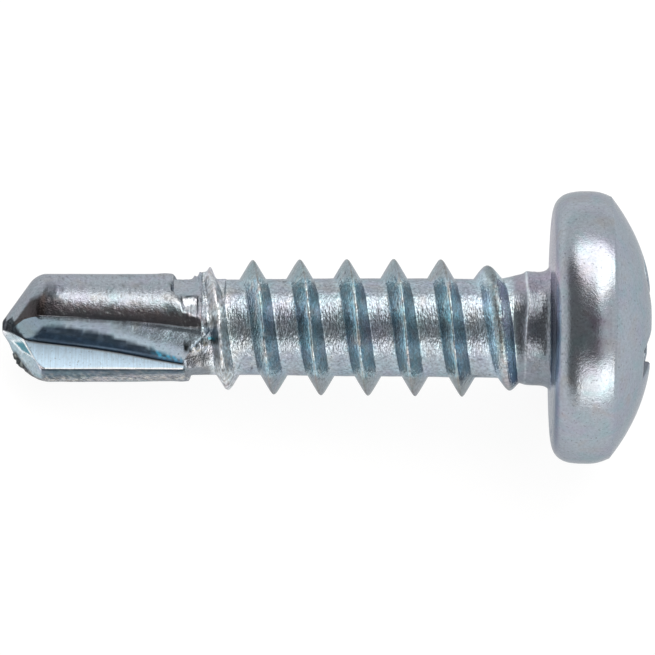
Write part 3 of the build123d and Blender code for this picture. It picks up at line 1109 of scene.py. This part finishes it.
# the underside is lilac with painted shade, darker and bluer towards negative y
lay_coat("8F8BA2", lilac_and_shade_under)
lay_coat("6A7A8E", lilac_and_shade_under * blend(1.2, -1.2, y_now))
# painted light near the shank, lighter still towards both ends
lay_coat("A8A2B8", by_shank)
lay_coat("8292A6", by_shank * blend(1.0, -1.6, y_now))
lay_coat("D2CBDC", by_shank * blend(0.7, 1.7, y_now))
lay_coat("A3B9D2", by_shank * blend(-0.7, -1.7, y_now))
print("the film's lightest and darkest are", film.max().round(2), "and", film.min().round(3))

# %% [markdown]
# ## How rough each surface is
# Three more shares ride on the vertices for the material to read: how satin a place is, how deep its
# grain, and whether it was rolled, which draws the grain out.

# %% Satin, grain and rolled
first_turn_satin = 0.35
neck_cone_end = 1.3
grain_depths = [
    # surface, depth of its grain: a later surface wins
    (on_head, 0.45), (on_land, 0.85), (threaded, 2.2), (threaded & (at < neck_cone_end), 1.2),
]
other_grain_depth, satin_grain_depth, wall_grain_depth = 0.9, 0.1, 0.3
first_turn_grain, trimmed_grain, burr_grain = 1.5, 3.2, 1.5
satin = np.maximum(cutting_face * pinched, first_turn_satin * first_turn)
grain_depth = np.full(len(height), other_grain_depth)
for surface, surface_depth in grain_depths:
    grain_depth[surface] = surface_depth
grain_depth += first_turn_grain * first_turn
grain_depth[satin > 0.5] = satin_grain_depth
grain_depth[in_body & on_wall] = wall_grain_depth
grain_depth += trimmed_grain * trimmed + burr_grain * burred
print("the grain's depth goes from", grain_depth.min().round(2), "to", grain_depth.max().round(2))

# %% Close the skin and lay it down
skin.vertices.foreach_set("co", place.ravel())
for name, values in {"satin": satin, "grain": grain_depth, "rolled": threaded}.items():
    layer = skin.attributes.new(name, "FLOAT", "POINT")
    layer.data.foreach_set("value", values.astype(np.float32))
layer = skin.attributes.new("film", "FLOAT_COLOR", "POINT")
layer.data.foreach_set("color", np.column_stack((film, np.ones(len(film)))).astype(np.float32).ravel())
finished = bmesh.new()
finished.from_mesh(skin)
bmesh.ops.remove_doubles(finished, verts=finished.verts, dist=merge_distance / 10)
bmesh.ops.recalc_face_normals(finished, faces=finished.faces)
finished.transform(lay_down @ Matrix.Scale(MM, 4))
for face in finished.faces:
    face.smooth = True
finished.to_mesh(skin)
finished.free()
screw = bpy.data.objects.new("zinc_screw", skin)
bpy.context.scene.collection.objects.link(screw)
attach(screw, "root")
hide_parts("screw")
print("the screw has", sum(len(p.vertices) - 2 for p in skin.polygons), "triangles")

# %% [markdown]
# ## The finish
# The real finish is bright zinc plate on cold-forged carbon steel, with a clear blue passivate. The plate
# is a metal, so its colour is the colour of its reflections: a pale grey that leans to blue, with thin
# teal and lilac films where the bath lay longer. It is nearly mirror-bright on the head and the lands.
# Only the cutting face is satin: it was sheared when the point was pinched, so the plate there is matt
# and scatters light like a pale paint. One material does it all, because the plate is one coat, and it
# reads the shares from the vertices.

# %% Bright zinc plate: what it reads


def add(tree, kind, settings=None, inputs=None):
    """Adds a node: its settings, and for each input a socket to link or a value to hold."""
    node = tree.nodes.new(kind)
    for key, value in (settings or {}).items():
        setattr(node, key, value)
    for key, given in (inputs or {}).items():
        if isinstance(given, bpy.types.NodeSocket):
            tree.links.new(given, node.inputs[key])
        else:
            node.inputs[key].default_value = given
    return node


zinc = bpy.data.materials.new("bright_zinc_plate")
zinc.use_nodes = True
tree = zinc.node_tree
tree.nodes.clear()
here = add(tree, "ShaderNodeTexCoord").outputs["Object"]
own = add(tree, "ShaderNodeMapping", {"vector_type": "TEXTURE"},
          {"Vector": here, "Location": bearing_centre, "Rotation": turn.to_euler()}).outputs["Vector"]
satin_share = add(tree, "ShaderNodeAttribute", {"attribute_name": "satin"}).outputs["Fac"]
depth_share = add(tree, "ShaderNodeAttribute", {"attribute_name": "grain"}).outputs["Fac"]
rolled_share = add(tree, "ShaderNodeAttribute", {"attribute_name": "rolled"}).outputs["Fac"]
film_colour = add(tree, "ShaderNodeAttribute", {"attribute_name": "film"}).outputs["Color"]
print("the plate's patterns follow the screw's own axis")

# %% [markdown]
# ### Its texture
# Plated steel has an orange peel about 0.15 mm wide and, finer than that, the grain of the wire. The
# real grain is 0.01 to 0.03 mm wide, which is under one pixel of the render, so it is drawn at 0.055 mm.
# Rolling stretches it round the thread to about three times its width.

# %% Peel and grain, as bump
peel_size, peel_depth, peel_unrolled = 0.16, 0.018, 0.35
grain_size, grain_bump_depth = 0.055, 0.012
rolled_stretch = (1.0, 0.30, 0.30)
drawn = add(tree, "ShaderNodeMapping", None, {"Vector": own, "Scale": rolled_stretch}).outputs["Vector"]
grain_vector = add(tree, "ShaderNodeMix", {"data_type": "VECTOR"}, {"Factor": rolled_share, 4: own, 5: drawn})
peel = add(tree, "ShaderNodeTexNoise", None,
           {"Vector": own, "Scale": 1 / (peel_size * MM), "Detail": 3.0, "Roughness": 0.6})
fine = add(tree, "ShaderNodeTexNoise", None,
           {"Vector": grain_vector.outputs[1], "Scale": 1 / (grain_size * MM), "Detail": 2.0,
            "Roughness": 0.6})
peel_share = add(tree, "ShaderNodeMapRange", None,
                 {"Value": rolled_share, "To Min": peel_unrolled, "To Max": 1.0})
peel_height = add(tree, "ShaderNodeMath", {"operation": "MULTIPLY"},
                  {0: peel.outputs["Fac"], 1: peel_share.outputs["Result"]})
fine_height = add(tree, "ShaderNodeMath", {"operation": "MULTIPLY"}, {0: fine.outputs["Fac"], 1: depth_share})
bump_peel = add(tree, "ShaderNodeBump", None,
                {"Height": peel_height.outputs["Value"], "Strength": 1.0, "Distance": peel_depth * MM})
bump_fine = add(tree, "ShaderNodeBump", None,
                {"Height": fine_height.outputs["Value"], "Normal": bump_peel.outputs["Normal"],
                 "Strength": 1.0, "Distance": grain_bump_depth * MM})
print("the peel is", peel_size, "mm wide and", peel_depth, "mm deep")

# %% [markdown]
# ### Its colour
# Over the film lie faint clouds about a millimetre wide, where the passivate is thicker (lilac, teal) or
# thinner (straw). They multiply the film, so they never lighten its dark places, and stay off the satin
# face.

# %% Clouds of colour
lilac_size, cloud_size = 1.1, 0.8
mottle = add(tree, "ShaderNodeTexNoise", None,
             {"Vector": own, "Scale": 1 / (lilac_size * MM), "Detail": 4.0, "Roughness": 0.65})
cloud = add(tree, "ShaderNodeTexNoise", None,
            {"Vector": own, "Scale": 1 / (cloud_size * MM), "Detail": 3.0, "Distortion": 0.6})
coat_colour = film_colour
for noise_node, hex_code, starts, ends, most in [
    (mottle, "FFEDFF", 0.45, 0.70, 0.5),
    (cloud, "DDFFFB", 0.52, 0.72, 0.45),
    (cloud, "FFE9D4", 0.46, 0.28, 0.35),
]:
    cloud_share = add(tree, "ShaderNodeMapRange", None,
                      {"Value": noise_node.outputs["Fac"], "From Min": starts, "From Max": ends,
                       "To Min": 0.0, "To Max": most})
    coat = add(tree, "ShaderNodeMix", {"data_type": "RGBA", "blend_type": "MULTIPLY"},
               {"Factor": cloud_share.outputs["Result"], 6: coat_colour, 7: colour(hex_code)})
    coat_colour = coat.outputs[2]
even = add(tree, "ShaderNodeMix", {"data_type": "RGBA"},
           {"Factor": satin_share, 6: coat_colour, 7: film_colour})
print("the clouds are", lilac_size, "and", cloud_size, "mm wide")

# %% [markdown]
# ### Its small marks
# Shearing leaves streaks across the cutting face, from flute to lip. The real ones are about 0.02 mm
# apart and are drawn at 0.06 mm, so that they show. Everywhere else there are a few dark pits in the
# plate, and a speckle from the plate's own uneven brightness, which is stronger where the grain is deep.

# %% Streaks, pits and speckle
streak_size, streak_contrast = 0.06, 0.12
streak_stretch = (1.0, 0.05, 0.05)
pit_size, pit_darkest = 0.085, 0.6
speckle_size, speckle_least, speckle_gain = 0.10, 0.25, 0.45
sheared = add(tree, "ShaderNodeMapping", None, {"Vector": own, "Scale": streak_stretch}).outputs["Vector"]
streaks = add(tree, "ShaderNodeTexNoise", None,
              {"Vector": sheared, "Scale": 1 / (streak_size * MM), "Detail": 2.0})
streak_tone = add(tree, "ShaderNodeMapRange", None,
                  {"Value": streaks.outputs["Fac"], "From Min": 0.3, "From Max": 0.7,
                   "To Min": 1 - streak_contrast, "To Max": 1 + streak_contrast})
streak_share = add(tree, "ShaderNodeMix", {"data_type": "FLOAT"},
                   {"Factor": satin_share, 2: 1.0, 3: streak_tone.outputs["Result"]})
pits = add(tree, "ShaderNodeTexNoise", None, {"Vector": own, "Scale": 1 / (pit_size * MM), "Detail": 1.0})
pit_tone = add(tree, "ShaderNodeMapRange", None,
               {"Value": pits.outputs["Fac"], "From Min": 0.64, "From Max": 0.76,
                "To Min": 1.0, "To Max": pit_darkest})
speckle = add(tree, "ShaderNodeTexNoise", None,
              {"Vector": own, "Scale": 1 / (speckle_size * MM), "Detail": 3.0})
speckle_off = add(tree, "ShaderNodeMath", {"operation": "SUBTRACT"}, {0: speckle.outputs["Fac"], 1: 0.5})
speckle_spread = add(tree, "ShaderNodeMapRange", {"clamp": False},
                     {"Value": depth_share, "To Min": speckle_least, "To Max": speckle_least + speckle_gain})
speckle_tone = add(tree, "ShaderNodeMath", {"operation": "MULTIPLY_ADD"},
                   {0: speckle_off.outputs["Value"], 1: speckle_spread.outputs["Result"], 2: 1.0})
marks = add(tree, "ShaderNodeMath", {"operation": "MULTIPLY"},
            {0: pit_tone.outputs["Result"], 1: speckle_tone.outputs["Value"]})
tone = add(tree, "ShaderNodeMath", {"operation": "MULTIPLY"},
           {0: marks.outputs["Value"], 1: streak_share.outputs[0]})
base = add(tree, "ShaderNodeVectorMath", {"operation": "SCALE"},
           {0: even.outputs[2], "Scale": tone.outputs["Value"]})
print("the streaks change the tone by", streak_contrast, "either way")

# %% The shader
# Bright zinc is typically 0.15 to 0.3 rough. The satin face is typically 0.4 to 0.6, and is given mostly
# as a non-metal, because it shows its own matt brightness and mirrors nothing. The edge tint keeps the
# grazing reflections of the plate as grey as they are on zinc.
bright_roughness, satin_roughness = 0.22, 0.50
satin_metallic, satin_start = 0.2, 0.5
rough = add(tree, "ShaderNodeMapRange", None,
            {"Value": satin_share, "To Min": bright_roughness, "To Max": satin_roughness})
metal = add(tree, "ShaderNodeMapRange", None,
            {"Value": satin_share, "From Min": satin_start, "To Min": 1.0, "To Max": satin_metallic})
shader = add(tree, "ShaderNodeBsdfPrincipled", None,
             {"Base Color": base.outputs["Vector"], "Normal": bump_fine.outputs["Normal"],
              "Roughness": rough.outputs["Result"], "Metallic": metal.outputs["Result"],
              "Specular Tint": colour("CFD2D5")})
add(tree, "ShaderNodeOutputMaterial", None, {"Surface": shader.outputs["BSDF"]})
screw.data.materials.append(zinc)
print("the plate has", len(tree.nodes), "nodes")

# %% [markdown]
# ## The studio
# Shiny metal shows its surroundings more than its lamps, so the surroundings are made first: white paper
# under the screw, and a pale tent round it. The tent has one dark opening towards the viewer, which draws
# the dark bands along the head and the shank. Two soft boxes draw the highlights. A third fills the satin
# face only: no reflection shows it.

# %% Paper
paper_half_size = 1.5
paper_white_share, paper_white = 0.86, 1.05
floor_mesh = bpy.data.meshes.new("floor")
floor_shape = bmesh.new()
bmesh.ops.create_grid(floor_shape, x_segments=1, y_segments=1, size=paper_half_size)
floor_shape.to_mesh(floor_mesh)
floor_shape.free()
floor = bpy.data.objects.new("floor", floor_mesh)
bpy.context.scene.collection.objects.link(floor)
paper = bpy.data.materials.new("white_paper")
paper.use_nodes = True
tree = paper.node_tree
tree.nodes.clear()
path = add(tree, "ShaderNodeLightPath")
seen = add(tree, "ShaderNodeMath", {"operation": "MAXIMUM"},
           {0: path.outputs["Is Camera Ray"], 1: path.outputs["Is Glossy Ray"]})
seen = add(tree, "ShaderNodeMath", {"operation": "MAXIMUM"},
           {0: seen.outputs["Value"], 1: path.outputs["Is Transmission Ray"]})
glow_share = add(tree, "ShaderNodeMath", {"operation": "MULTIPLY"},
                 {0: seen.outputs["Value"], 1: paper_white_share})
matte = add(tree, "ShaderNodeBsdfDiffuse", None, {"Color": colour("F2F2F2")})
glow = add(tree, "ShaderNodeEmission", None, {"Color": colour("FFFFFF"), "Strength": paper_white})
mix = add(tree, "ShaderNodeMixShader", None,
          {0: glow_share.outputs["Value"], 1: matte.outputs["BSDF"], 2: glow.outputs["Emission"]})
add(tree, "ShaderNodeOutputMaterial", None, {"Surface": mix.outputs["Shader"]})
floor.data.materials.append(paper)
print("the paper is", 2 * paper_half_size, "m square")

# %% Tent
tent_light, opening_light = 0.88, 0.20
opening_elevation = 3
opening_edge_from, opening_edge_to = 71, 59
opening_shift = 0.24
opening_half_width = (0.40, 0.66)


def way(sideways, elevation):
    """A direction: sideways is to the right, and elevation goes from the viewer towards image up."""
    swing, lift = math.radians(sideways), math.radians(elevation)
    aim = Vector((math.sin(swing), math.cos(swing) * math.sin(lift), math.cos(swing) * math.cos(lift)))
    return lay_down.to_3x3() @ aim


tent = bpy.data.worlds.new("tent")
bpy.context.scene.world = tent
tent.use_nodes = True
tree = tent.node_tree
tree.nodes.clear()
sky = add(tree, "ShaderNodeTexCoord").outputs["Generated"]
forwards = add(tree, "ShaderNodeVectorMath", {"operation": "DOT_PRODUCT"},
               {0: sky, 1: way(0, opening_elevation)})
sideways = add(tree, "ShaderNodeVectorMath", {"operation": "DOT_PRODUCT"}, {0: sky, 1: way(90, 0)})
print("the tent's walls are", tent_light, "bright and its opening", opening_light)

# %% The opening: a long slot, level with the viewer
squared = add(tree, "ShaderNodeMath", {"operation": "MULTIPLY"},
              {0: sideways.outputs["Value"], 1: sideways.outputs["Value"]})
upright_part = add(tree, "ShaderNodeMath", {"operation": "SUBTRACT"}, {0: 1.0, 1: squared.outputs["Value"]})
upright_length = add(tree, "ShaderNodeMath", {"operation": "SQRT"}, {0: upright_part.outputs["Value"]})
level = add(tree, "ShaderNodeMath", {"operation": "DIVIDE"},
            {0: forwards.outputs["Value"], 1: upright_length.outputs["Value"]})
tall = add(tree, "ShaderNodeMapRange", {"interpolation_type": "SMOOTHSTEP"},
           {"Value": level.outputs["Value"], "From Min": math.cos(math.radians(opening_edge_from)),
            "From Max": math.cos(math.radians(opening_edge_to))})
shifted = add(tree, "ShaderNodeMath", {"operation": "ADD"}, {0: sideways.outputs["Value"], 1: opening_shift})
from_middle = add(tree, "ShaderNodeMath", {"operation": "ABSOLUTE"}, {0: shifted.outputs["Value"]})
narrow = add(tree, "ShaderNodeMapRange", {"interpolation_type": "SMOOTHSTEP"},
             {"Value": from_middle.outputs["Value"], "From Min": opening_half_width[0],
              "From Max": opening_half_width[1], "To Min": 1.0, "To Max": 0.0})
dark_share = add(tree, "ShaderNodeMath", {"operation": "MULTIPLY"},
                 {0: tall.outputs["Result"], 1: narrow.outputs["Result"]})
fade = add(tree, "ShaderNodeMapRange", None,
           {"Value": dark_share.outputs["Value"], "To Min": tent_light, "To Max": opening_light})
background = add(tree, "ShaderNodeBackground", None, {"Color": fade.outputs["Result"]})
add(tree, "ShaderNodeOutputWorld", None, {"Surface": background.outputs["Background"]})
print("the opening is", 2 * opening_edge_to, "degrees tall")

# %% Soft boxes
aim_station = 7.561
aim = Vector((-aim_station, 0, 0)) * MM
box_light_colour = (1.0, 0.95, 0.90)


def soft_box(name, centre, facing, roll, width, depth, radiance):
    """An area lamp, placed in the camera's own axes and measured in millimetres from the aim point."""
    lamp = bpy.data.lights.new(name, "AREA")
    lamp.shape = "RECTANGLE"
    lamp.size, lamp.size_y = width * MM, depth * MM
    lamp.energy = radiance * math.pi * lamp.size * lamp.size_y
    lamp.color = box_light_colour
    box = bpy.data.objects.new(name, lamp)
    normal = way(*facing)
    across = way(0, 90).cross(normal).normalized()
    along = normal.cross(across)
    turned = math.radians(roll)
    first = across * math.cos(turned) + along * math.sin(turned)
    second = normal.cross(first)
    pose = Matrix((first, second, normal)).transposed().to_4x4()
    box.matrix_world = Matrix.Translation(lay_down @ (Vector(centre) * MM + aim)) @ pose
    bpy.context.scene.collection.objects.link(box)
    print(name, "gives", round(1000 * lamp.energy), "mW")
    return box


soft_box("key_box", (-7.7, 152.6, 60.0), (25.1, -1.6), roll=-60.6, width=271.7, depth=80.6, radiance=2.5)
soft_box("low_box", (121.1, -173.0, 156.7), (1.9, -60.0), roll=-1.5, width=287.9, depth=133.6, radiance=2.2)
fill_box = soft_box("fill_box", (0, 115, 164), (0, 35), roll=0, width=200, depth=200, radiance=1.3)
fill_box.visible_glossy = False

# %% [markdown]
# ## The camera
# It looks straight at the screw's side from 200 mm away, square to the axis, so the outline is nearly a
# plan view. The lens follows from the width that the view should take in.

# %% Camera
camera_distance = 200.0
view_width = 22.298
camera_data = bpy.data.cameras.new("camera")
camera_data.sensor_width = 36.0
camera_data.lens = camera_data.sensor_width * camera_distance / view_width
camera_data.clip_start, camera_data.clip_end = 0.01, 10.0
camera = bpy.data.objects.new("camera", camera_data)
camera.matrix_world = lay_down @ Matrix.Translation(Vector((-aim_station, 0, camera_distance)) * MM)
bpy.context.scene.collection.objects.link(camera)
bpy.context.scene.camera = camera
bpy.context.scene.view_settings.view_transform = "Standard"
print("the lens is", round(camera_data.lens), "mm")
